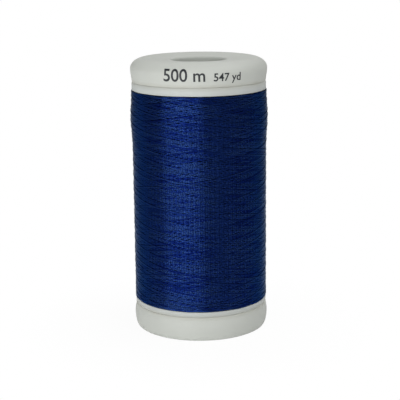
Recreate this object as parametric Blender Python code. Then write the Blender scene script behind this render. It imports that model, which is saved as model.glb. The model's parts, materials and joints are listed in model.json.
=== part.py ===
"""A snap spool of sewing thread, standing on its base cap with the spool axis on +Z.

Four pieces: the flanged core, the wound thread, and two end caps. Each cap has a hub of spring
fingers in the core's bore, and pulls out a few millimetres so that the end of the thread can be
laid between the cap and the flange.
"""
import math

import bmesh
import bpy

MM = 0.001

# Facets round every turned piece
SEGMENTS = 56

# Outline of the ends
SEAM_RADIUS = 15.75 * MM        # caps and flanges where they meet
CAP_BULGE = 0.25 * MM           # both caps swell this far beyond the seam
TOP_CAP_HEIGHT = 5.5 * MM       # seam to the highest point
BASE_CAP_HEIGHT = 5.7 * MM      # seam to the resting face
TOP_SHOULDER = (3.6 * MM, 2.5 * MM)     # rounded corner: its width and its height
BASE_SHOULDER = (0.8 * MM, 3.1 * MM)
TOP_LAND = 0.6 * MM             # flat ring at the crest of the top
BASE_LAND = 2.8 * MM            # flat ring that the spool stands on
DISH_DEPTH = 0.5 * MM           # fall of each end face from its land to the hole
HOLE_EDGE = 0.6 * MM            # rounding of the hole's rim
CAP_WALL = 1.2 * MM
CAP_INNER_FILLET = 1.5 * MM
RIM_EDGE = 0.25 * MM            # rounding of the rims at the seam
WALL_STEPS = 3                  # rings on a cap's barrelled wall
SEAM_GAP = 0.3 * MM             # closed cap to flange

# Snap hub of each cap, and the core's bore that it slides in
PIN_BORE_RADIUS = 6.3 * MM      # hole that takes the machine's spool pin
HUB_WALL = 1.0 * MM
HUB_CLEARANCE = 0.3 * MM        # hub to bore, and bead to recess, all round
CATCH_DEPTH = 0.7 * MM          # recess in the bore that traps the finger beads
CATCH_START = 6.0 * MM          # flange face to the near end of the recess
BEAD_HEIGHT = 1.6 * MM
BEAD_EDGE = 0.5 * MM            # lead-in slope at the tip of a bead
CAP_TRAVEL = 3.0 * MM
STOP_CLEARANCE = 0.3 * MM
FINGER_COUNT = 4
SLOT_WIDTH = 1.6 * MM
SLOT_LENGTH = 8.0 * MM

# Core
TUBE_WALL = 1.6 * MM
TUBE_EDGE = 0.35 * MM           # bevels at both ends of the tube
TOP_FLANGE = 1.9 * MM           # thickness of the flange next to the top cap
BASE_FLANGE = 1.3 * MM
FLANGE_LAND = 1.55 * MM         # flat seat for the cap at the rim of the flange
FLANGE_RECESS = 0.5 * MM        # shallow trough inside that seat, for the thread end

# Wound thread
WINDING_SPAN = 50.0 * MM        # flange to flange
WINDING_PROUD = 0.1 * MM        # the thread stands this far beyond the flanges
WINDING_FULLNESS = 0.35 * MM    # the winding swells a little towards the top
FULL_AT = 0.87                  # where it is fullest, as a share of the span
FULL_SPREAD = 0.09
WINDING_EDGE = 0.5 * MM
WINDING_CLEARANCE = 0.3 * MM
WINDING_RINGS = 12

MERGE_DISTANCE = 0.001 * MM
SMOOTH_ANGLE = math.radians(35.0)

# Levels and radii that follow from the sizes above
END_RADIUS = SEAM_RADIUS + CAP_BULGE
WINDING_RADIUS = SEAM_RADIUS + WINDING_PROUD
BASE_SEAM = BASE_CAP_HEIGHT
WINDING_START = BASE_SEAM + BASE_FLANGE
WINDING_END = WINDING_START + WINDING_SPAN
TOP_SEAM = WINDING_END + TOP_FLANGE
HUB_RADIUS = PIN_BORE_RADIUS + HUB_WALL
CORE_BORE = HUB_RADIUS + HUB_CLEARANCE
CATCH_RADIUS = CORE_BORE + CATCH_DEPTH
BEAD_RADIUS = CATCH_RADIUS - HUB_CLEARANCE
TUBE_RADIUS = CORE_BORE + TUBE_WALL
CATCH_END = CATCH_START + BEAD_HEIGHT + CAP_TRAVEL + 2.0 * STOP_CLEARANCE
HUB_REACH = CATCH_END - STOP_CLEARANCE


def clear_scene():
    for item in list(bpy.data.objects):
        bpy.data.objects.remove(item, do_unlink=True)


def finish(name, colour, roughness):
    """A plain moulded or fibre surface in one linear colour."""
    material = bpy.data.materials.new(name)
    material.use_nodes = True
    shader = material.node_tree.nodes["Principled BSDF"]
    shader.inputs["Base Color"].default_value = (*colour, 1.0)
    shader.inputs["Roughness"].default_value = roughness
    shader.inputs["Metallic"].default_value = 0.0
    material.diffuse_color = (*colour, 1.0)
    return material


def add_object(name, mesh):
    piece = bpy.data.objects.new(name, mesh)
    bpy.context.scene.collection.objects.link(piece)
    return piece


def arc(centre, size, start, end, steps):
    """Points on an ellipse of half-axes size, from the start angle to the end angle in degrees."""
    points = []
    for step in range(steps + 1):
        angle = math.radians(start + (end - start) * step / steps)
        points.append((centre[0] + size[0] * math.cos(angle), centre[1] + size[1] * math.sin(angle)))
    return points


def turned(name, profile, material):
    """Spin a closed profile of (radius, height) points round Z into one solid."""
    solid = bmesh.new()
    points = [solid.verts.new((radius, 0.0, height)) for radius, height in profile]
    sides = [solid.edges.new((points[index - 1], points[index])) for index in range(len(points))]
    bmesh.ops.spin(solid, geom=points + sides, cent=(0.0, 0.0, 0.0), axis=(0.0, 0.0, 1.0),
                   angle=2.0 * math.pi, steps=SEGMENTS)
    bmesh.ops.remove_doubles(solid, verts=solid.verts, dist=MERGE_DISTANCE)
    bmesh.ops.recalc_face_normals(solid, faces=solid.faces)
    mesh = bpy.data.meshes.new(name)
    solid.to_mesh(mesh)
    solid.free()
    mesh.shade_smooth()
    mesh.set_sharp_from_angle(angle=SMOOTH_ANGLE)
    mesh.materials.append(material)
    return add_object(name, mesh)


def cap_profile(height, shoulder, land):
    """Half section of a cap, with the seam at height 0 and its end face at the given height."""
    shoulder_width, shoulder_height = shoulder
    wall_top = height - shoulder_height
    crest = END_RADIUS - shoulder_width
    dish_edge = crest - land
    dish_floor = height - DISH_DEPTH
    hole_lip = PIN_BORE_RADIUS + HOLE_EDGE
    inner_wall = SEAM_RADIUS - CAP_WALL
    rim_round = SEAM_GAP + RIM_EDGE

    profile = [(inner_wall, SEAM_GAP)]
    profile += arc((SEAM_RADIUS - RIM_EDGE, rim_round), (RIM_EDGE, RIM_EDGE), -90, 0, 2)
    for step in range(1, WALL_STEPS):
        share = step / WALL_STEPS
        swell = CAP_BULGE * math.sin(share * math.pi / 2.0)
        profile.append((SEAM_RADIUS + swell, rim_round + share * (wall_top - rim_round)))
    profile += arc((crest, wall_top), (shoulder_width, shoulder_height), 0, 90, 6)
    profile.append((dish_edge, height))
    profile += arc((hole_lip, dish_floor - HOLE_EDGE), (HOLE_EDGE, HOLE_EDGE), 90, 180, 3)

    # Down the hub: the bore, the finger tips and their beads, and back up outside
    bead_low = -HUB_REACH
    bead_high = bead_low + BEAD_HEIGHT
    profile.append((PIN_BORE_RADIUS, bead_low))
    profile.append((HUB_RADIUS, bead_low))
    profile.append((BEAD_RADIUS, bead_low + BEAD_EDGE))
    profile.append((BEAD_RADIUS, bead_high))
    profile.append((HUB_RADIUS, bead_high))

    # Underside of the end face, and the inside of the wall
    profile.append((HUB_RADIUS, dish_floor - CAP_WALL))
    ceiling = height - CAP_WALL
    fillet_centre = (inner_wall - CAP_INNER_FILLET, ceiling - CAP_INNER_FILLET)
    ceiling_edge = min(dish_edge, fillet_centre[0] - RIM_EDGE)
    profile.append((ceiling_edge, ceiling))
    profile += arc(fillet_centre, (CAP_INNER_FILLET, CAP_INNER_FILLET), 90, 0, 3)
    return profile


def finger_slots(name):
    """Cutter that splits the end of a hub into spring fingers: one radial block for each slot."""
    blocks = bmesh.new()
    inner = PIN_BORE_RADIUS - HUB_WALL
    outer = BEAD_RADIUS + HUB_WALL
    bottom = -HUB_REACH - HUB_WALL
    height = SLOT_LENGTH + HUB_WALL
    for slot in range(FINGER_COUNT):
        block = bmesh.ops.create_cube(blocks, size=1.0)["verts"]
        bmesh.ops.scale(blocks, vec=(outer - inner, SLOT_WIDTH, height), verts=block)
        bmesh.ops.translate(blocks, vec=((outer + inner) / 2.0, 0.0, bottom + height / 2.0), verts=block)
        turn = 2.0 * math.pi * (slot + 0.5) / FINGER_COUNT
        side = (math.cos(turn), math.sin(turn))
        for corner in block:
            along, across = corner.co.x, corner.co.y
            corner.co.x = along * side[0] - across * side[1]
            corner.co.y = along * side[1] + across * side[0]
    mesh = bpy.data.meshes.new(name)
    blocks.to_mesh(mesh)
    blocks.free()
    cutter = add_object(name, mesh)
    cutter.hide_render = True
    cutter.display_type = "WIRE"
    return cutter


def end_cap(name, height, shoulder, land, material):
    """A cap with its origin on the spool axis at the seam, and its slotted hub below it."""
    cap = turned(name, cap_profile(height, shoulder, land), material)
    cutter = finger_slots(name + "_slots")
    cutter.parent = cap
    cut = cap.modifiers.new("Finger slots", "BOOLEAN")
    cut.operation = "DIFFERENCE"
    cut.solver = "EXACT"
    cut.object = cutter
    return cap


def core_end(cap_height, flange):
    """Half section of one end of the core, from its bore out to the tube, with the seam at height 0."""
    tube_end = cap_height - DISH_DEPTH - CAP_WALL - SEAM_GAP
    rim = SEAM_RADIUS - RIM_EDGE
    seat_edge = SEAM_RADIUS - FLANGE_LAND
    profile = [(CORE_BORE, -CATCH_END), (CATCH_RADIUS, -CATCH_END)]
    profile += [(CATCH_RADIUS, -CATCH_START), (CORE_BORE, -CATCH_START)]
    profile += [(CORE_BORE, tube_end - TUBE_EDGE), (CORE_BORE + TUBE_EDGE, tube_end)]
    profile += [(TUBE_RADIUS - TUBE_EDGE, tube_end), (TUBE_RADIUS, tube_end - TUBE_EDGE)]
    profile += [(TUBE_RADIUS, -FLANGE_RECESS), (seat_edge - FLANGE_RECESS, -FLANGE_RECESS), (seat_edge, 0.0)]
    profile += arc((rim, -RIM_EDGE), (RIM_EDGE, RIM_EDGE), 90, 0, 2)
    profile += arc((rim, RIM_EDGE - flange), (RIM_EDGE, RIM_EDGE), 0, -90, 2)
    profile.append((TUBE_RADIUS, -flange))
    return profile


def spool_core(material):
    """Tube with a flange at each end, in one moulding."""
    top = [(radius, TOP_SEAM + height) for radius, height in core_end(TOP_CAP_HEIGHT, TOP_FLANGE)]
    base = [(radius, BASE_SEAM - height) for radius, height in core_end(BASE_CAP_HEIGHT, BASE_FLANGE)]
    return turned("spool_core", top + base[::-1], material)


def thread_winding(material):
    """The wound thread as one turned package between the flanges, fuller towards the top."""
    low = WINDING_START + WINDING_CLEARANCE
    high = WINDING_END - WINDING_CLEARANCE
    inner = TUBE_RADIUS + WINDING_CLEARANCE
    profile = [(inner, low), (WINDING_RADIUS - WINDING_EDGE, low)]
    for ring in range(WINDING_RINGS + 1):
        share = ring / WINDING_RINGS
        swell = WINDING_FULLNESS * math.exp(-((share - FULL_AT) / FULL_SPREAD) ** 2)
        height = low + WINDING_EDGE + share * (high - low - 2.0 * WINDING_EDGE)
        profile.append((WINDING_RADIUS + swell, height))
    profile += [(WINDING_RADIUS - WINDING_EDGE, high), (inner, high)]
    return turned("thread_winding", profile, material)


def main():
    clear_scene()
    off_white = finish("moulded off-white plastic", (0.62, 0.64, 0.60), 0.45)
    cap_white = finish("moulded off-white plastic of the caps", (0.60, 0.62, 0.58), 0.42)
    blue_thread = finish("dark blue polyester thread", (0.006, 0.026, 0.13), 0.55)

    spool_core(off_white)
    thread_winding(blue_thread)
    top = end_cap("top_cap", TOP_CAP_HEIGHT, TOP_SHOULDER, TOP_LAND, cap_white)
    top.location = (0.0, 0.0, TOP_SEAM)
    base = end_cap("base_cap", BASE_CAP_HEIGHT, BASE_SHOULDER, BASE_LAND, cap_white)
    base.location = (0.0, 0.0, BASE_SEAM)
    base.rotation_euler = (math.pi, 0.0, 0.0)


main()
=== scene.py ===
import json
import math

import bmesh
import bpy
import numpy as np
from mathutils import Matrix, Vector


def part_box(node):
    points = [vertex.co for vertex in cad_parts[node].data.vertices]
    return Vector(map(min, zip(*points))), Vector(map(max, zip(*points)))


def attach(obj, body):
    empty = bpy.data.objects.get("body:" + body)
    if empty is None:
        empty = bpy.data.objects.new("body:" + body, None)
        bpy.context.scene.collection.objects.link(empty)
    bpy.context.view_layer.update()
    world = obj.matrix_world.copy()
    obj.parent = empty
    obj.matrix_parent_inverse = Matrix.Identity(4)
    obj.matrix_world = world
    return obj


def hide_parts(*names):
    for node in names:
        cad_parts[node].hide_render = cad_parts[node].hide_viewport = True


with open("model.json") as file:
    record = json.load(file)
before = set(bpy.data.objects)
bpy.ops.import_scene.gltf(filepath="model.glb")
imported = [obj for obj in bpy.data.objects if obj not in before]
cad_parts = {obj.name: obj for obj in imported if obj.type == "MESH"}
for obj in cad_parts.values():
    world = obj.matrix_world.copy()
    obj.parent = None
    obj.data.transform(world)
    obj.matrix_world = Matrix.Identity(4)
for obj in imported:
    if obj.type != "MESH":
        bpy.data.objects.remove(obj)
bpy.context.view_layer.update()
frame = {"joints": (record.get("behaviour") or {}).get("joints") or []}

MM = 0.001

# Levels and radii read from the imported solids
SEAMS = {joint["name"]: joint["pos_m"][2] for joint in frame["joints"]}
TOP_SEAM = SEAMS["top_cap_slide"]
BASE_SEAM = SEAMS["base_cap_slide"]
TOP_CAP_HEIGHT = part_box("top_cap")[1].z - TOP_SEAM
BASE_CAP_HEIGHT = BASE_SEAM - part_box("base_cap")[0].z
END_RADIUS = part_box("top_cap")[1].x
SEAM_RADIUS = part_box("spool_core")[1].x
WINDING_CLEARANCE = 0.3 * MM    # winding to flange in the solids; on the real spool they touch
WINDING_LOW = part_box("thread_winding")[0].z - WINDING_CLEARANCE
WINDING_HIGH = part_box("thread_winding")[1].z + WINDING_CLEARANCE

# Moulded caps
SEAM_LINE = 0.01 * MM       # closed cap to flange
RIM_EDGE = 0.09 * MM        # rounding of the flange rims on the thread's side
SEAM_EDGE = (0.2 * MM, 0.8 * MM)  # depth and height of the soft edge on each side of a seam
SEAM_DUST_AND_SHADE = 0.9 * MM        # reach of the warm dust and painted shade that darken the plastic along the seams
TOP_SHOULDER = (3.6 * MM, 2.5 * MM)
BASE_SHOULDER = (0.8 * MM, 3.1 * MM)
TOP_LAND = 0.6 * MM
BASE_LAND = 2.8 * MM
DISH_DEPTH = 0.5 * MM
HOLE_EDGE = 0.6 * MM
CAP_WALL = 1.2 * MM
CAP_INNER_FILLET = 1.5 * MM
CAP_SEGMENTS = 192
CUT_MARGIN = 1 * MM         # how far the blocks that cut the finger slots reach past the hub
SHARP_ANGLE = 35.0          # degrees; edges sharper than this stay crisp

# Steps in the round stretches of the turned sections
EDGE_STEPS = 9
WALL_STEPS = 9
SHOULDER_STEPS = 22
DISH_STEPS = 8
LIP_STEPS = 8
FILLET_STEPS = 6
RIM_STEPS = 5

# Finish of the plastic and the ink
MOTTLE_SIZE = 7 * MM        # flow marks
DUST_PATCH = 5 * MM
GRAIN_SIZE = 0.3 * MM       # coarser than the real mould finish so that it shows
GRAIN_DEPTH = 0.004 * MM
PLASTIC_ROUGHNESS = (0.57, 0.67)
INK_PATCH = 0.4 * MM

# Ink on the top cap, the length of the thread: words, degrees from the front, type size
PRINTS = (("500 m", -12.0, 3.9 * MM), ("547 yd", 24.0, 2.5 * MM))
PRINT_BASE = 1.5 * MM       # above the seam
PRINT_LIFT = 0.015 * MM
PRINT_WEIGHT = 0.015        # extra thickness of the strokes, as a share of the type size
PRINT_STEP = 0.25 * MM
CUT_TOLERANCE = 1e-8        # metres within which a point counts as lying on a cut

# Snap hub in the core's bore
PIN_BORE_RADIUS = 6.3 * MM
HUB_RADIUS = 7.3 * MM
HUB_CLEARANCE = 0.3 * MM
CATCH_DEPTH = 0.7 * MM
CATCH_START = 6.0 * MM
CATCH_LENGTH = 5.2 * MM
STOP_CLEARANCE = 0.3 * MM
BEAD_HEIGHT = 1.6 * MM
BEAD_EDGE = 0.5 * MM
FINGER_COUNT = 4
SLOT_WIDTH = 1.6 * MM
SLOT_LENGTH = 8.0 * MM
CORE_BORE = HUB_RADIUS + HUB_CLEARANCE
CATCH_RADIUS = CORE_BORE + CATCH_DEPTH
BEAD_RADIUS = CATCH_RADIUS - HUB_CLEARANCE
CATCH_END = CATCH_START + CATCH_LENGTH
HUB_REACH = CATCH_END - STOP_CLEARANCE

# Core
TUBE_RADIUS = 9.2 * MM
TUBE_EDGE = 0.35 * MM
FLANGE_LAND = 1.55 * MM
FLANGE_RECESS = 0.5 * MM
CORE_SEGMENTS = 320
PARTING_ANGLE = -114.0      # mould parting line on the flange rims, degrees from +X; its twin is opposite
PARTING_HEIGHT = 0.07 * MM

# Wound thread. Real thread of this kind is about 0.25 mm thick; it is drawn a little
# coarser, because finer strands would melt into one tone at this image size.
STRAND_WIDTH = 0.34 * MM
STRAND_HEIGHT = 0.22 * MM
STRAND_SIDES = 6
RIBBONS = 13                # after this many double passes the thread lies beside itself again
TURNS_PER_PASS = 43 / RIBBONS  # from flange to flange, so that a strand climbs at about 8.6 degrees
LAY_SPACING = 0.31 * MM     # from a strand to the next in its ribbon
LAY_SCATTER = 0.08 * MM
WANDER_STEP = 0.35          # turns from one drift of the thread guide to the next
WANDER_SHARE = 0.4          # size of that drift, as a share of the scatter
TURN_SHARPNESS = 0.9995     # just under 1 rounds the turn at each flange
COLUMNS = 72                # places round the spool where a strand has a point
BURIED_PASSES = 24          # laid first to carry the others, and left out
SHOWN_PASSES = 110
WINDING_PIECES = 4
WINDING_SEED = 7
STRAND_SINK = 0.3           # share of its thickness that a strand sinks into those under it
STRAND_BRIDGE = 2.0         # columns over which a strand bridges what lies under it
PASS_SCATTER = 0.05         # share of its thickness that a pass lies higher or lower
PASS_JOIN = 5               # columns over which a pass runs on from the one before
SUPPORT_CELL = 0.05 * MM    # cells in the map of heights that strands are laid on
LUMP_SIZE = 1.2 * MM        # lumps broader than this are taken off
RELIEF = (0.02 * MM, 0.08 * MM)  # how far strands stand above and below the winding's outline
WINDING_PROUD = 0.1 * MM    # the thread stands this far beyond the flanges
WINDING_RADIUS = SEAM_RADIUS + WINDING_PROUD
WINDING_FULLNESS = 0.35 * MM
FULL_AT = 0.87              # share of the winding's height where it is fullest
FULL_SPREAD = 0.09
PACKAGE_INSET = 0.1 * MM    # from the flanges to the layers of thread under the ones that show
PACKAGE_BORE = TUBE_RADIUS + 0.2 * MM
PACKAGE_DEPTH = 2 * STRAND_HEIGHT  # under the winding's outline
PACKAGE_STEPS = 40

# Finish of the thread. Lightness runs from 0, the dark dye, to 1, the pale dye; the twist's ridges add
# painted light and shade to it
TICKS_PER_TURN = 181        # ridges of the twist, about 0.55 mm apart along the thread
TICK_DRIFT = 1.5            # ridges by which the twist runs fast or slow
DRIFT_CHANGES = 0.7         # per turn, which is one in about 140 mm of thread
TONE_CHANGES = 5.0          # per turn, which is one in about 20 mm of thread
RIDGE_DEPTH = 0.006 * MM
RIDGE_LIGHT_AND_SHADE = 0.3           # painted light that a ridge adds to the lightness, and painted shade that a groove takes away
TONE_NOISE = (0.25, 0.55)   # noise values at the ends of the tones
TONES = (-0.3, 0.7)         # lightness between ridge and groove
CREST_START = 0.78          # sine of the angle round a strand where the painted shade of its flanks ends at its crest
FLANK_SHADE = 0.05          # share of its colour that a strand's flank keeps under the painted shade
PAINTED_GLINTS = (0.8, 1.4)         # lightness where the painted glints start, and where they would be full
# Shares of a texture row where the strand's outer half starts, its inner half starts, and it ends
TEXTURE_ROW = (0.1, 0.7, 0.9)
ROW_SLACK = 1.001           # rows are this much longer than their share, so that the last point fits

# Camera, from the ends' ellipses and outlines in the photograph
CAMERA_DISTANCE = 268.5 * MM
CAMERA_HEIGHT = 90.0 * MM
CAMERA_PITCH = 12.57        # degrees downwards
CAMERA_ROLL = -0.62         # degrees
CAMERA_LENS = 103.3         # millimetres on a 36 mm sensor
CAMERA_NEAR = 10 * MM
SENSOR = 36.0

# Stage: a round floor of white paper with a low wall; reflections show only a sheet as wide as the picture
STAGE_RADIUS = 1.6
STAGE_WALL = 0.4
STAGE_SEGMENTS = 64
SHEET_FRONT = 54 * MM
SHEET_HALF_WIDTH = 55 * MM
SHEET_FADE = 30 * MM
SHADE_REACH = 45 * MM       # the spool's shadow fades out this far from its axis
SHADE_WHITE = 0.95          # share of pure white next to the spool, where the shadow shows most
PAPER_WHITE = 0.9
PAPER_DROP = 0.05 * MM      # paper to base face, so that they don't lie in one plane
WORLD_LIGHT = 0.05          # strength of the world as a lamp; the camera sees it at 1
# Name, azimuth and elevation in degrees, distance and size in metres, watts
SOFTBOXES = (
    ("key softbox", -28.5, 7, 0.5, (0.58, 0.25), 2.33),
    ("overhead softbox", 70, 61, 0.6, (0.55, 0.4), 2.35),
    ("back softbox", 175, 50, 0.6, (0.5, 0.4), 1.15),
    ("right softbox", 118, 20, 0.6, (0.4, 0.4), 0.15),
    ("left softbox", -120, 20, 0.6, (0.4, 0.4), 0.45),
)


def linear(code):
    """Linear colour of an sRGB hex code."""
    shares = [int(code[place:place + 2], 16) / 255.0 for place in (1, 3, 5)]
    return tuple(s / 12.92 if s <= 0.04045 else ((s + 0.055) / 1.055) ** 2.4 for s in shares) + (1.0,)


def add_node(tree, kind, inputs=None, **settings):
    """Add a node with its settings, and fill its inputs with values or link them to sockets."""
    made = tree.nodes.new(kind)
    for name, value in settings.items():
        setattr(made, name, value)
    for key, value in (inputs or {}).items():
        if isinstance(value, bpy.types.NodeSocket):
            tree.links.new(value, made.inputs[key])
        else:
            made.inputs[key].default_value = value
    return made


def new_material(name):
    """A material with its node tree and its shader."""
    material = bpy.data.materials.new(name)
    material.use_nodes = True
    return material, material.node_tree, material.node_tree.nodes["Principled BSDF"]


# Materials

def moulded_polystyrene(name, pale, grey):
    """Injection-moulded polystyrene, off-white: a satin skin with faint flow mottling and a slight ripple."""
    material, tree, shader = new_material(name)
    place = add_node(tree, "ShaderNodeTexCoord").outputs["Object"]
    mottle = add_node(tree, "ShaderNodeTexNoise", {"Vector": place, "Scale": 1 / MOTTLE_SIZE, "Detail": 3.0})
    colour = add_node(tree, "ShaderNodeMix", {"Factor": mottle.outputs["Fac"], "A": linear(pale),
                                              "B": linear(grey)}, data_type="RGBA").outputs["Result"]
    # A little warm dust along the seams, with painted shade: the colour darkens towards each seam
    height = add_node(tree, "ShaderNodeSeparateXYZ", {"Vector": place}).outputs["Z"]
    patches = add_node(tree, "ShaderNodeTexNoise", {"Vector": place, "Scale": 1 / DUST_PATCH, "Detail": 2.0})
    for seam in (BASE_SEAM, TOP_SEAM):
        above = add_node(tree, "ShaderNodeMath", {0: height, 1: seam}, operation="SUBTRACT")
        away = add_node(tree, "ShaderNodeMath", {0: above.outputs[0]}, operation="ABSOLUTE")
        near = add_node(tree, "ShaderNodeMapRange", {"Value": away.outputs[0], "From Max": SEAM_DUST_AND_SHADE,
                                                     "To Min": 1.0, "To Max": 0.0})
        amount = add_node(tree, "ShaderNodeMath", {0: near.outputs[0], 1: patches.outputs["Fac"]},
                          operation="MULTIPLY")
        colour = add_node(tree, "ShaderNodeMix", {"Factor": amount.outputs[0], "A": colour,
                                                  "B": linear("#A6A599")}, data_type="RGBA").outputs["Result"]
    tree.links.new(colour, shader.inputs["Base Color"])
    # The grain of the mould changes the gloss and ripples the skin
    grain = add_node(tree, "ShaderNodeTexNoise", {"Vector": place, "Scale": 1 / GRAIN_SIZE, "Detail": 2.0})
    gloss = add_node(tree, "ShaderNodeMapRange", {"Value": grain.outputs["Fac"],
                                                  "To Min": PLASTIC_ROUGHNESS[0],
                                                  "To Max": PLASTIC_ROUGHNESS[1]})
    tree.links.new(gloss.outputs["Result"], shader.inputs["Roughness"])
    skin = add_node(tree, "ShaderNodeBump", {"Height": grain.outputs["Fac"], "Distance": GRAIN_DEPTH,
                                             "Strength": 1.0})
    tree.links.new(skin.outputs["Normal"], shader.inputs["Normal"])
    shader.inputs["IOR"].default_value = 1.59
    return material


def printing_ink(name):
    """Pad-printed ink: near black, thin and satin, a little paler where the coat is thin."""
    material, tree, shader = new_material(name)
    place = add_node(tree, "ShaderNodeTexCoord").outputs["Object"]
    coat = add_node(tree, "ShaderNodeTexNoise", {"Vector": place, "Scale": 1 / INK_PATCH, "Detail": 2.0})
    colour = add_node(tree, "ShaderNodeMix", {"Factor": coat.outputs["Fac"], "A": linear("#101214"),
                                              "B": linear("#262A30")}, data_type="RGBA")
    tree.links.new(colour.outputs["Result"], shader.inputs["Base Color"])
    shader.inputs["Roughness"].default_value = 0.5
    return material


def spun_polyester_thread(name):
    """Dyed spun polyester thread: dark blue, a blue lustre along each strand and small ridges across it."""
    material, tree, shader = new_material(name)
    along = add_node(tree, "ShaderNodeUVMap", uv_map="Strand").outputs["UV"]
    parts = add_node(tree, "ShaderNodeSeparateXYZ", {"Vector": along})
    turns, side = parts.outputs["X"], parts.outputs["Y"]
    # Twist: ridges that wind round the strand, coarser and steeper than real ones so that they show
    drift = add_node(tree, "ShaderNodeTexNoise", {"W": turns, "Scale": DRIFT_CHANGES, "Detail": 1.0},
                     noise_dimensions="1D")
    ticks = add_node(tree, "ShaderNodeMath", {0: turns, 1: TICKS_PER_TURN, 2: side}, operation="MULTIPLY_ADD")
    ticks = add_node(tree, "ShaderNodeMath", {0: drift.outputs["Fac"], 1: TICK_DRIFT, 2: ticks.outputs[0]},
                     operation="MULTIPLY_ADD")
    phase = add_node(tree, "ShaderNodeMath", {0: ticks.outputs[0]}, operation="FRACT")
    angle = add_node(tree, "ShaderNodeMath", {0: phase.outputs[0], 1: 2 * math.pi}, operation="MULTIPLY")
    ridge = add_node(tree, "ShaderNodeMath", {0: angle.outputs[0]}, operation="SINE")
    # Dye and hairiness change along the thread, so that strands side by side differ
    slow = add_node(tree, "ShaderNodeTexNoise", {"W": turns, "Scale": TONE_CHANGES, "Detail": 2.0},
                    noise_dimensions="1D")
    tone = add_node(tree, "ShaderNodeMapRange", {"Value": slow.outputs["Fac"], "From Min": TONE_NOISE[0],
                                                 "From Max": TONE_NOISE[1], "To Min": TONES[0],
                                                 "To Max": TONES[1]})
    # Painted light on the twist's ridges and painted shade in its grooves, on top of the dye's tone
    lightness = add_node(tree, "ShaderNodeMath", {0: ridge.outputs[0], 1: RIDGE_LIGHT_AND_SHADE, 2: tone.outputs[0]},
                         operation="MULTIPLY_ADD")
    # Painted shade: each strand's colour darkens from its crest to its flanks, where packed strands shade
    # each other
    around = add_node(tree, "ShaderNodeMath", {0: side, 1: 2 * math.pi}, operation="MULTIPLY")
    painted_flank_shade = add_node(tree, "ShaderNodeMath", {0: around.outputs[0]}, operation="SINE")
    painted_flank_shade = add_node(tree, "ShaderNodeMapRange", {"Value": painted_flank_shade.outputs[0], "From Min": CREST_START,
                                                  "To Min": FLANK_SHADE})
    colour = add_node(tree, "ShaderNodeMix", {"Factor": lightness.outputs[0], "A": linear("#08195B"),
                                              "B": linear("#1D376E")}, data_type="RGBA")
    # Painted glints: where the lightness is highest the colour turns pale blue, standing in for small
    # highlights on the palest fibres
    painted_glint = add_node(tree, "ShaderNodeMapRange", {"Value": lightness.outputs[0], "From Min": PAINTED_GLINTS[0],
                                                  "From Max": PAINTED_GLINTS[1]})
    colour = add_node(tree, "ShaderNodeMix", {"Factor": painted_glint.outputs["Result"],
                                              "A": colour.outputs["Result"],
                                              "B": linear("#476185")}, data_type="RGBA")
    colour = add_node(tree, "ShaderNodeMix", {"Factor": 1.0, "A": colour.outputs["Result"],
                                              "B": painted_flank_shade.outputs["Result"]},
                      data_type="RGBA", blend_type="MULTIPLY")
    tree.links.new(colour.outputs["Result"], shader.inputs["Base Color"])
    bump = add_node(tree, "ShaderNodeBump", {"Height": ridge.outputs[0], "Distance": RIDGE_DEPTH,
                                             "Strength": 1.0})
    tree.links.new(bump.outputs["Normal"], shader.inputs["Normal"])
    # Light that enters the clear filaments comes back dyed, so the lustre is as blue as the thread
    shader.inputs["Metallic"].default_value = 0.9
    shader.inputs["Roughness"].default_value = 0.3
    shader.inputs["IOR"].default_value = 1.57
    shader.inputs["Specular IOR Level"].default_value = 0.05
    shader.inputs["Specular Tint"].default_value = linear("#B0C0D4")
    return material


def packed_thread(name):
    """The layers of thread under the ones that show: the same dye darkened with painted deep shade."""
    material, tree, shader = new_material(name)
    place = add_node(tree, "ShaderNodeTexCoord").outputs["Object"]
    # Soft rows of painted shade, about two strands from one to the next
    rows = add_node(tree, "ShaderNodeTexWave", {"Vector": place, "Scale": 1 / (STRAND_WIDTH * 2 * math.pi)},
                    bands_direction="Z")
    colour = add_node(tree, "ShaderNodeMix", {"Factor": rows.outputs["Fac"], "A": linear("#030A22"),
                                              "B": linear("#0A1A48")}, data_type="RGBA")
    tree.links.new(colour.outputs["Result"], shader.inputs["Base Color"])
    shader.inputs["Roughness"].default_value = 0.7
    return material


# Turned pieces

def arc(centre, size, start, end, steps):
    """Points on an ellipse of half-axes size, between two angles in degrees."""
    angles = np.radians(np.linspace(start, end, steps + 1))
    return [(centre[0] + size[0] * math.cos(a), centre[1] + size[1] * math.sin(a)) for a in angles]


def add_piece(name, mesh, material, body, replaces=None):
    """A piece of the spool that moves with a body, and the solid that it replaces."""
    piece = bpy.data.objects.new(name, mesh)
    bpy.context.scene.collection.objects.link(piece)
    mesh.materials.append(material)
    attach(piece, body)
    if replaces:
        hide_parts(replaces)


def turned_points(profile, segments):
    """Points of a profile of (radius, height) turned about Z, by segment, place in the profile and axis."""
    angles = 2 * np.pi * np.arange(segments) / segments
    radius, height = np.array(profile).T
    return np.stack([np.outer(np.cos(angles), radius), np.outer(np.sin(angles), radius),
                     np.tile(height, (segments, 1))], -1)


def turned_mesh(name, points):
    """Closed mesh over turned points, whose profile is a closed loop."""
    segments, count = points.shape[:2]
    segment, place = np.meshgrid(np.arange(segments), np.arange(count), indexing="ij")
    after, beside = (segment + 1) % segments, (place + 1) % count
    quads = np.stack([segment * count + place, after * count + place,
                      after * count + beside, segment * count + beside], -1).reshape(-1, 4)
    mesh = bpy.data.meshes.new(name)
    mesh.from_pydata(points.reshape(-1, 3).tolist(), [], quads.tolist())
    outward(mesh)
    return mesh


def outward(mesh):
    """Point the faces out and shade them smooth, with true edges kept sharp."""
    work = bmesh.new()
    work.from_mesh(mesh)
    bmesh.ops.recalc_face_normals(work, faces=work.faces)
    work.to_mesh(mesh)
    work.free()
    mesh.shade_smooth()
    mesh.set_sharp_from_angle(angle=math.radians(SHARP_ANGLE))


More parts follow.
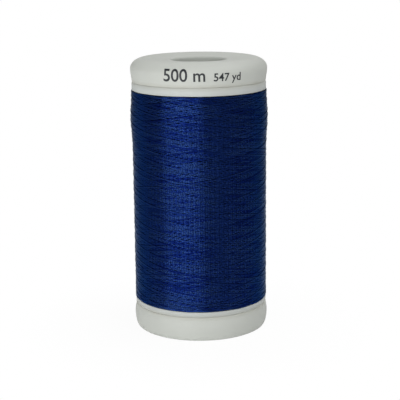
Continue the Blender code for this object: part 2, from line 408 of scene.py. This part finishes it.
def cap_outside(height, shoulder, land):
    """Outer half section of a cap from its rim to the lip of its hole; the seam is at height 0."""
    width, rise = shoulder
    wall_top = height - rise
    low = SEAM_LINE + SEAM_EDGE[1]
    points = arc((SEAM_RADIUS - SEAM_EDGE[0], low), SEAM_EDGE, -90, 0, EDGE_STEPS)
    for share in np.linspace(0, 1, WALL_STEPS + 1)[1:-1]:
        points.append((SEAM_RADIUS + (END_RADIUS - SEAM_RADIUS) * math.sin(share * math.pi / 2),
                       low + share * (wall_top - low)))
    points += arc((END_RADIUS - width, wall_top), (width, rise), 0, 90, SHOULDER_STEPS)
    dish_start, dish_end = END_RADIUS - width - land, PIN_BORE_RADIUS + HOLE_EDGE
    for share in np.linspace(0, 1, DISH_STEPS + 1)[:-1]:
        fall = DISH_DEPTH * math.sin(share * math.pi / 2) ** 2
        points.append((dish_start + (dish_end - dish_start) * share, height - fall))
    points += arc((dish_end, height - DISH_DEPTH - HOLE_EDGE), (HOLE_EDGE, HOLE_EDGE), 90, 180,
                  LIP_STEPS)
    return points


def cap_inside(height, shoulder, land):
    """The rest of a cap's section: down its hub, round the finger beads and back under the end face."""
    tip = -HUB_REACH
    inner_wall = SEAM_RADIUS - CAP_WALL
    ceiling = height - CAP_WALL
    points = [(PIN_BORE_RADIUS, tip + BEAD_EDGE / 2), (PIN_BORE_RADIUS + BEAD_EDGE / 2, tip)]
    points += [(HUB_RADIUS, tip), (BEAD_RADIUS, tip + BEAD_EDGE)]
    points += [(BEAD_RADIUS, tip + BEAD_HEIGHT), (HUB_RADIUS, tip + BEAD_HEIGHT)]
    points.append((HUB_RADIUS, ceiling - DISH_DEPTH))
    fillet = (inner_wall - CAP_INNER_FILLET, ceiling - CAP_INNER_FILLET)
    points.append((min(END_RADIUS - shoulder[0] - land, fillet[0] - RIM_EDGE), ceiling))
    points += arc(fillet, (CAP_INNER_FILLET, CAP_INNER_FILLET), 90, 0, FILLET_STEPS)
    points.append((inner_wall, SEAM_LINE))
    return points


def finger_cutter():
    """Blocks that split a hub's end into spring fingers."""
    blocks = bmesh.new()
    inner, outer = PIN_BORE_RADIUS - CUT_MARGIN, BEAD_RADIUS + CUT_MARGIN
    bottom, top = -HUB_REACH - CUT_MARGIN, SLOT_LENGTH - HUB_REACH
    for slot in range(FINGER_COUNT):
        spin = Matrix.Rotation(2 * math.pi * (slot + 0.5) / FINGER_COUNT, 4, "Z")
        place = Matrix.Translation(((inner + outer) / 2, 0, (bottom + top) / 2))
        size = Matrix.Diagonal((outer - inner, SLOT_WIDTH, top - bottom, 1))
        bmesh.ops.create_cube(blocks, size=1, matrix=spin @ place @ size)
    mesh = bpy.data.meshes.new("finger_cutter")
    blocks.to_mesh(mesh)
    blocks.free()
    cutter = bpy.data.objects.new("finger_cutter", mesh)
    bpy.context.scene.collection.objects.link(cutter)
    return cutter


def cap_mesh(name, height, shoulder, land):
    """Cap with its seam at height 0, its end face up and its slotted hub below."""
    profile = cap_outside(height, shoulder, land) + cap_inside(height, shoulder, land)
    solid = bpy.data.objects.new(name, turned_mesh(name, turned_points(profile, CAP_SEGMENTS)))
    bpy.context.scene.collection.objects.link(solid)
    cutter = finger_cutter()
    cut = solid.modifiers.new("slots", "BOOLEAN")
    cut.operation, cut.solver, cut.object = "DIFFERENCE", "EXACT", cutter
    mesh = bpy.data.meshes.new_from_object(solid.evaluated_get(bpy.context.evaluated_depsgraph_get()))
    for spent in (solid, cutter):
        bpy.data.objects.remove(spent, do_unlink=True)
    mesh.name = name
    outward(mesh)
    return mesh


def make_caps(plastic):
    """Both caps; the base cap is turned over, with its end face down."""
    top = cap_mesh("top_cap_moulding", TOP_CAP_HEIGHT, TOP_SHOULDER, TOP_LAND)
    top.transform(Matrix.Translation((0, 0, TOP_SEAM)))
    add_piece("top_cap_moulding", top, plastic, "top_cap", "top_cap")
    base = cap_mesh("base_cap_moulding", BASE_CAP_HEIGHT, BASE_SHOULDER, BASE_LAND)
    base.transform(Matrix.Translation((0, 0, BASE_SEAM)) @ Matrix.Rotation(math.pi, 4, "X"))
    add_piece("base_cap_moulding", base, plastic, "base_cap", "base_cap")


def print_mesh(words, angle, size):
    """Words bent round the top cap's wall, with points close enough together to follow it."""
    type_curve = bpy.data.curves.new("print", "FONT")
    type_curve.body, type_curve.size, type_curve.align_x = words, size, "CENTER"
    type_curve.offset = PRINT_WEIGHT * size
    setting = bpy.data.objects.new("print", type_curve)
    bpy.context.scene.collection.objects.link(setting)
    mesh = bpy.data.meshes.new_from_object(setting.evaluated_get(bpy.context.evaluated_depsgraph_get()))
    bpy.data.objects.remove(setting, do_unlink=True)
    work = bmesh.new()
    work.from_mesh(mesh)
    reach = max(abs(v.co.x) for v in work.verts)
    for place in np.arange(-reach, reach, PRINT_STEP):
        for direction in ((1, 0, 0), (0, 1, 0)):
            bmesh.ops.bisect_plane(work, geom=work.verts[:] + work.edges[:] + work.faces[:],
                                   dist=CUT_TOLERANCE, plane_co=(place, place, 0), plane_no=direction)
    outside = np.array(cap_outside(TOP_CAP_HEIGHT, TOP_SHOULDER, TOP_LAND))
    profile = outside[outside[:, 0] > END_RADIUS - TOP_SHOULDER[0]]
    for v in work.verts:
        height = PRINT_BASE + v.co.y
        radius = np.interp(height, profile[:, 1], profile[:, 0]) + PRINT_LIFT
        turn = math.radians(angle) + v.co.x / radius
        v.co = (radius * math.sin(turn), -radius * math.cos(turn), TOP_SEAM + height)
    work.to_mesh(mesh)
    work.free()
    return mesh


def make_print(ink):
    """The words on the top cap, each a piece of its own."""
    for number, (words, angle, size) in enumerate(PRINTS):
        mesh = print_mesh(words, angle, size)
        add_piece(f"top_cap_print_{number + 1}", mesh, ink, "top_cap")


def core_end(cap_height, flange):
    """Half section of one end of the core, from the bore out to the tube; the seam is at height 0."""
    tube_end = cap_height - DISH_DEPTH - CAP_WALL - STOP_CLEARANCE
    rim, seat = SEAM_RADIUS - RIM_EDGE, SEAM_RADIUS - FLANGE_LAND
    points = [(CORE_BORE, -CATCH_END), (CATCH_RADIUS, -CATCH_END)]
    points += [(CATCH_RADIUS, -CATCH_START), (CORE_BORE, -CATCH_START)]
    points += [(CORE_BORE, tube_end - TUBE_EDGE), (CORE_BORE + TUBE_EDGE, tube_end)]
    points += [(TUBE_RADIUS - TUBE_EDGE, tube_end), (TUBE_RADIUS, tube_end - TUBE_EDGE)]
    points += [(TUBE_RADIUS, -FLANGE_RECESS), (seat - FLANGE_RECESS, -FLANGE_RECESS), (seat, 0)]
    points += arc((SEAM_RADIUS - SEAM_EDGE[0], -SEAM_EDGE[1]), SEAM_EDGE, 90, 0, EDGE_STEPS)
    points += arc((rim, RIM_EDGE - flange), (RIM_EDGE, RIM_EDGE), 0, -90, RIM_STEPS)
    points.append((TUBE_RADIUS, -flange))
    return points


def make_core(plastic):
    """Tube with two flanges, with the mould's parting lines as fine ridges across the rims."""
    top = core_end(TOP_CAP_HEIGHT, TOP_SEAM - WINDING_HIGH)
    base = core_end(BASE_CAP_HEIGHT, WINDING_LOW - BASE_SEAM)
    profile = [(radius, TOP_SEAM + height) for radius, height in top]
    profile += [(radius, BASE_SEAM - height) for radius, height in base[::-1]]
    points = turned_points(profile, CORE_SEGMENTS)
    rim = np.array(profile)[:, 0] > SEAM_RADIUS - RIM_EDGE / 2
    for angle in (PARTING_ANGLE, PARTING_ANGLE + 180):
        segment = round(angle / 360 * CORE_SEGMENTS) % CORE_SEGMENTS
        points[segment, rim, :2] *= 1 + PARTING_HEIGHT / SEAM_RADIUS
    core = turned_mesh("core_moulding", points)
    add_piece("core_moulding", core, plastic, "spool", "spool_core")


# Wound thread

def winding_radius(height):
    """Outer radius of the wound thread at a height, a little fuller towards the top."""
    share = (height - WINDING_LOW) / (WINDING_HIGH - WINDING_LOW)
    return WINDING_RADIUS + WINDING_FULLNESS * np.exp(-((share - FULL_AT) / FULL_SPREAD) ** 2)


def thread_route(chance):
    """The thread's way round and up and down the spool: turns made, height and number of the pass.

    After RIBBONS double passes the thread lies beside itself again, so that the strands form ribbons.
    """
    pitch = (WINDING_HIGH - WINDING_LOW) / TURNS_PER_PASS
    turns = TURNS_PER_PASS + LAY_SPACING / pitch / RIBBONS / 2
    steps = round(turns * COLUMNS * (BURIED_PASSES + SHOWN_PASSES))
    turned = np.arange(steps) / COLUMNS
    stage = turned / turns
    passes = np.floor(stage).astype(int)
    # Each pass turns back at its own distance from the flange, with a rounded turn
    margin = STRAND_WIDTH / 2 + LAY_SCATTER * np.abs(chance.standard_normal(passes.max() + 2))
    share = stage - passes
    rising = passes % 2 == 0
    climb = np.where(rising, share, 1 - share)
    low = np.where(rising, margin[passes], margin[passes + 1])
    high = np.where(rising, margin[passes + 1], margin[passes])
    swing = np.arcsin(TURN_SHARPNESS * np.sin(np.pi * (climb - 0.5))) / math.asin(TURN_SHARPNESS)
    height = (WINDING_LOW + low) * (1 - swing) / 2 + (WINDING_HIGH - high) * (1 + swing) / 2
    # Slow wander of the guide that lays the thread
    knots = np.arange(0, turned[-1] + 1, WANDER_STEP)
    height += np.interp(turned, knots, WANDER_SHARE * LAY_SCATTER * chance.standard_normal(len(knots)))
    inset = STRAND_WIDTH / 2
    return turned, np.clip(height, WINDING_LOW + inset, WINDING_HIGH - inset), passes


def lay_thread(chance):
    """Lay the thread pass by pass on a map of heights, so that later strands ride over earlier ones.

    Returns, for the passes that show, the angle, height and distance from the axis of each point.
    """
    turned, height, passes = thread_route(chance)
    column = np.arange(len(turned)) % COLUMNS
    cells = math.ceil((WINDING_HIGH - WINDING_LOW) / SUPPORT_CELL)
    reach = round(STRAND_WIDTH / 2 / SUPPORT_CELL)
    offsets = np.arange(-reach, reach + 1)
    bow = STRAND_HEIGHT / 2 * np.sqrt(np.clip(1 - (offsets / (reach + 0.5)) ** 2, 0, 1))
    surface = np.zeros((COLUMNS, cells))
    rise = np.zeros(len(turned))
    for number in range(passes.max() + 1):
        members = np.flatnonzero(passes == number)
        cell = np.round((height[members] - WINDING_LOW) / SUPPORT_CELL).astype(int)
        under = np.clip(cell[:, None] + offsets, 0, cells - 1)
        support = (surface[column[members][:, None], under] + bow - bow.max()).max(1)
        middle = smoothed(support, STRAND_BRIDGE) + STRAND_HEIGHT * (0.5 - STRAND_SINK)
        middle += STRAND_HEIGHT * PASS_SCATTER * chance.standard_normal()
        if number:
            # Join on to the end of the pass before
            middle += (rise[members[0] - 1] - middle[0]) * np.exp(-np.arange(len(members)) / PASS_JOIN)
        rise[members] = middle
        for offset, lift in zip(offsets, bow):
            spot = np.clip(cell + offset, 0, cells - 1)
            np.maximum.at(surface, (column[members], spot), middle + lift)
    # Bring the laid surface to the winding's outline: take off its broad lumps and keep its strands
    level = np.stack([smoothed(row, LUMP_SIZE / SUPPORT_CELL) for row in surface])
    around = LUMP_SIZE * COLUMNS / (2 * math.pi * WINDING_RADIUS)
    level = np.stack([smoothed(np.tile(row, 3), around)[COLUMNS:2 * COLUMNS] for row in level.T], -1)
    cell = np.round((height - WINDING_LOW) / SUPPORT_CELL).astype(int)
    lift = rise - level[column, np.clip(cell, 0, cells - 1)]
    relief = np.where(lift > 0, *RELIEF)
    radius = winding_radius(height) - STRAND_HEIGHT / 2 + relief * np.tanh(lift / relief)
    shown = passes >= BURIED_PASSES
    return 2 * math.pi * turned[shown], height[shown], radius[shown]


def smoothed(values, spread):
    """Values smoothed by a bell of the given spread in places."""
    reach = math.ceil(3 * spread)
    bell = np.exp(-0.5 * (np.arange(-reach, reach + 1) / spread) ** 2)
    return np.convolve(np.pad(values, reach, mode="edge"), bell / bell.sum(), mode="valid")


def strand_mesh(name, angle, height, radius):
    """Closed tube along a stretch of the wound thread, flattened against the spool."""
    centre = np.stack([radius * np.cos(angle), radius * np.sin(angle), height], -1)
    ahead = np.gradient(centre, axis=0)
    ahead /= np.linalg.norm(ahead, axis=1, keepdims=True)
    outwards = np.stack([np.cos(angle), np.sin(angle), np.zeros_like(angle)], -1)
    across = np.cross(ahead, outwards)
    across /= np.linalg.norm(across, axis=1, keepdims=True)
    turn = 2 * np.pi * np.arange(STRAND_SIDES) / STRAND_SIDES
    ring = (np.cos(turn)[:, None] * STRAND_WIDTH / 2 * across[:, None]
            + np.sin(turn)[:, None] * STRAND_HEIGHT / 2 * outwards[:, None])
    points = centre[:, None] + ring
    count = len(centre)
    place, side = np.meshgrid(np.arange(count - 1), np.arange(STRAND_SIDES), indexing="ij")
    beside = (side + 1) % STRAND_SIDES
    here, after = place * STRAND_SIDES, (place + 1) * STRAND_SIDES
    quads = np.stack([here + side, here + beside, after + beside, after + side], -1).reshape(-1, 4)
    ends = [list(range(STRAND_SIDES))[::-1], list(range((count - 1) * STRAND_SIDES, count * STRAND_SIDES))]
    mesh = bpy.data.meshes.new(name)
    mesh.from_pydata(points.reshape(-1, 3).tolist(), [], quads.tolist() + ends)
    length = np.concatenate([[0], np.cumsum(np.linalg.norm(np.diff(centre, axis=0), axis=1))])
    strand_uv(mesh, angle / (2 * math.pi), place, side)
    bake_uv(mesh, length, place, side)
    mesh.shade_smooth()
    return mesh


def strand_uv(mesh, turns, place, side):
    """Turns made round the spool, and the share of a turn round the strand."""
    along = np.stack([turns[place], turns[place], turns[place + 1], turns[place + 1]], -1)
    around = np.stack([side, side + 1, side + 1, side], -1) / STRAND_SIDES
    values = np.zeros((len(mesh.loops), 2))
    values[:along.size] = np.stack([along, around], -1).reshape(-1, 2)
    mesh.uv_layers.new(name="Strand").uv.foreach_set("vector", values.astype(np.float32).ravel())


def bake_uv(mesh, length, place, side):
    """Lay the strand out in rows that fill a square, for a texture of its own."""
    rows = math.ceil(math.sqrt(length[-1] / (math.pi * STRAND_WIDTH)))
    row_length = length[-1] / rows * ROW_SLACK
    row = np.floor(length[place] / row_length)
    begin, end = length[place] / row_length - row, np.minimum(length[place + 1] / row_length - row, 1)
    # The half of the strand that faces out takes most of a row
    edges = np.interp(np.arange(STRAND_SIDES + 1), (0, STRAND_SIDES / 2, STRAND_SIDES), TEXTURE_ROW)
    low, high = (row + edges[side]) / rows, (row + edges[side + 1]) / rows
    values = np.zeros((len(mesh.loops), 2))
    corners = np.stack([np.stack([begin, begin, end, end], -1), np.stack([low, high, high, low], -1)], -1)
    values[:corners.size // 2] = corners.reshape(-1, 2)
    mesh.uv_layers.new(name="OFBake").uv.foreach_set("vector", values.astype(np.float32).ravel())


def make_thread(thread, packed):
    """The strands that show, over a plain package of the layers below."""
    angle, height, radius = lay_thread(np.random.default_rng(WINDING_SEED))
    cuts = np.linspace(0, len(angle), WINDING_PIECES + 1).astype(int)
    for number in range(WINDING_PIECES):
        part = slice(cuts[number], min(cuts[number + 1] + 1, len(angle)))
        name = f"thread_strands_{number + 1}"
        mesh = strand_mesh(name, angle[part], height[part], radius[part])
        add_piece(name, mesh, thread, "spool", "thread_winding")
    low, high = WINDING_LOW + PACKAGE_INSET, WINDING_HIGH - PACKAGE_INSET
    profile = [(PACKAGE_BORE, low)]
    profile += [(winding_radius(z) - PACKAGE_DEPTH, z) for z in np.linspace(low, high, PACKAGE_STEPS)]
    profile.append((PACKAGE_BORE, high))
    package = turned_mesh("thread_package", turned_points(profile, CORE_SEGMENTS))
    add_piece("thread_package", package, packed, "spool", "thread_winding")


# Stage

def white_paper():
    """Matt white paper: pure white to the eye and in reflections, with a faint shadow close to the spool."""
    material = bpy.data.materials.new("white paper")
    material.use_nodes = True
    tree = material.node_tree
    tree.nodes.clear()
    place = add_node(tree, "ShaderNodeTexCoord").outputs["Object"]
    axes = add_node(tree, "ShaderNodeSeparateXYZ", {"Vector": place}).outputs
    # The sheet widens away from the camera as the picture does, and fades into the paper around it
    aside = add_node(tree, "ShaderNodeMath", {0: axes["X"]}, operation="ABSOLUTE")
    aside = add_node(tree, "ShaderNodeMath", {0: axes["Y"], 1: -SENSOR / 2 / CAMERA_LENS,
                                              2: aside.outputs[0]}, operation="MULTIPLY_ADD")
    width = add_node(tree, "ShaderNodeMapRange", {"Value": aside.outputs[0], "From Min": SHEET_HALF_WIDTH,
                                                  "From Max": SHEET_HALF_WIDTH + SHEET_FADE,
                                                  "To Min": 1.0, "To Max": 0.0})
    front = add_node(tree, "ShaderNodeMapRange", {"Value": axes["Y"], "From Min": -SHEET_FRONT - SHEET_FADE,
                                                  "From Max": -SHEET_FRONT})
    reach = add_node(tree, "ShaderNodeVectorMath", {0: place}, operation="LENGTH")
    clear = add_node(tree, "ShaderNodeMapRange", {"Value": reach.outputs["Value"], "From Min": SEAM_RADIUS,
                                                  "From Max": SHADE_REACH, "To Min": SHADE_WHITE})
    # Mirrored rays see the sheet only, and the camera sees white all round
    rays = add_node(tree, "ShaderNodeLightPath").outputs
    mirrored = add_node(tree, "ShaderNodeMath", {0: rays["Is Glossy Ray"], 1: rays["Is Transmission Ray"]},
                        operation="MAXIMUM")
    for limit in (width, front):
        mirrored = add_node(tree, "ShaderNodeMath", {0: mirrored.outputs[0], 1: limit.outputs[0]},
                            operation="MULTIPLY")
    seen = add_node(tree, "ShaderNodeMath", {0: rays["Is Camera Ray"], 1: mirrored.outputs[0]},
                    operation="MAXIMUM")
    share = add_node(tree, "ShaderNodeMath", {0: seen.outputs[0], 1: clear.outputs[0]}, operation="MULTIPLY")
    paper = add_node(tree, "ShaderNodeBsdfDiffuse", {"Color": (PAPER_WHITE, PAPER_WHITE, PAPER_WHITE, 1)})
    white = add_node(tree, "ShaderNodeEmission", {"Color": (1, 1, 1, 1), "Strength": 1.0})
    mix = add_node(tree, "ShaderNodeMixShader", {0: share.outputs[0], 1: paper.outputs[0],
                                                 2: white.outputs[0]})
    add_node(tree, "ShaderNodeOutputMaterial", {"Surface": mix.outputs[0]})
    return material


def make_stage():
    """A round white floor, a low white wall all round it, and a world that is white to the camera."""
    angles = 2 * np.pi * np.arange(STAGE_SEGMENTS) / STAGE_SEGMENTS
    rim = [(STAGE_RADIUS * math.cos(a), STAGE_RADIUS * math.sin(a), 0) for a in angles]
    top = [(x, y, STAGE_WALL) for x, y, _ in rim]
    count = STAGE_SEGMENTS
    wall = [(n, (n + 1) % count, count + (n + 1) % count, count + n) for n in range(count)]
    mesh = bpy.data.meshes.new("paper_sweep")
    mesh.from_pydata(rim + top, [], [tuple(range(count))] + wall)
    mesh.materials.append(white_paper())
    sweep = bpy.data.objects.new("paper_sweep", mesh)
    sweep.location.z = -PAPER_DROP
    bpy.context.scene.collection.objects.link(sweep)

    world = bpy.data.worlds.new("studio")
    bpy.context.scene.world = world
    world.use_nodes = True
    tree = world.node_tree
    background = tree.nodes["Background"]
    background.inputs["Color"].default_value = (1, 1, 1, 1)
    camera = add_node(tree, "ShaderNodeLightPath").outputs["Is Camera Ray"]
    strength = add_node(tree, "ShaderNodeMath", {0: camera, 1: 1 - WORLD_LIGHT, 2: WORLD_LIGHT},
                        operation="MULTIPLY_ADD")
    tree.links.new(strength.outputs[0], background.inputs["Strength"])


def add_softbox(name, azimuth, elevation, distance, size, power):
    """Rectangular area lamp aimed at the spool; azimuth 0 is the camera's side, + is to its right."""
    turn, lift = math.radians(azimuth), math.radians(elevation)
    away = Vector((math.sin(turn) * math.cos(lift), -math.cos(turn) * math.cos(lift), math.sin(lift)))
    lamp = bpy.data.lights.new(name, "AREA")
    lamp.shape = "RECTANGLE"
    lamp.size, lamp.size_y = size
    lamp.energy = power
    light = bpy.data.objects.new(name, lamp)
    light.location = Vector((0, 0, (WINDING_LOW + WINDING_HIGH) / 2)) + away * distance
    light.rotation_euler = (-away).to_track_quat("-Z", "Y").to_euler()
    light.visible_camera = False
    bpy.context.scene.collection.objects.link(light)


def make_camera():
    """The photograph's view: in front of the spool, looking slightly down."""
    pitch, roll = math.radians(CAMERA_PITCH), math.radians(CAMERA_ROLL)
    forward = Vector((0, math.cos(pitch), -math.sin(pitch)))
    level = Vector((1, 0, 0))
    raised = level.cross(forward)
    right = level * math.cos(roll) + raised * math.sin(roll)
    up = raised * math.cos(roll) - level * math.sin(roll)
    lens = bpy.data.cameras.new("camera")
    lens.sensor_width = SENSOR
    lens.lens = CAMERA_LENS
    lens.clip_start = CAMERA_NEAR
    camera = bpy.data.objects.new("camera", lens)
    turn = Matrix((right, up, -forward)).transposed().to_4x4()
    camera.matrix_world = Matrix.Translation((0, -CAMERA_DISTANCE, CAMERA_HEIGHT)) @ turn
    bpy.context.scene.collection.objects.link(camera)
    bpy.context.scene.camera = camera


make_camera()
make_stage()
for softbox in SOFTBOXES:
    add_softbox(*softbox)
cap_plastic = moulded_polystyrene("moulded polystyrene, caps", "#BEC1BB", "#B8BBB5")
core_plastic = moulded_polystyrene("moulded polystyrene, core", "#B9BDBA", "#B3B7B4")
make_caps(cap_plastic)
make_print(printing_ink("printing ink, black"))
make_core(core_plastic)
make_thread(spun_polyester_thread("spun polyester thread, dyed"), packed_thread("packed thread, painted shade"))

bpy.context.scene.view_settings.view_transform = "Standard"
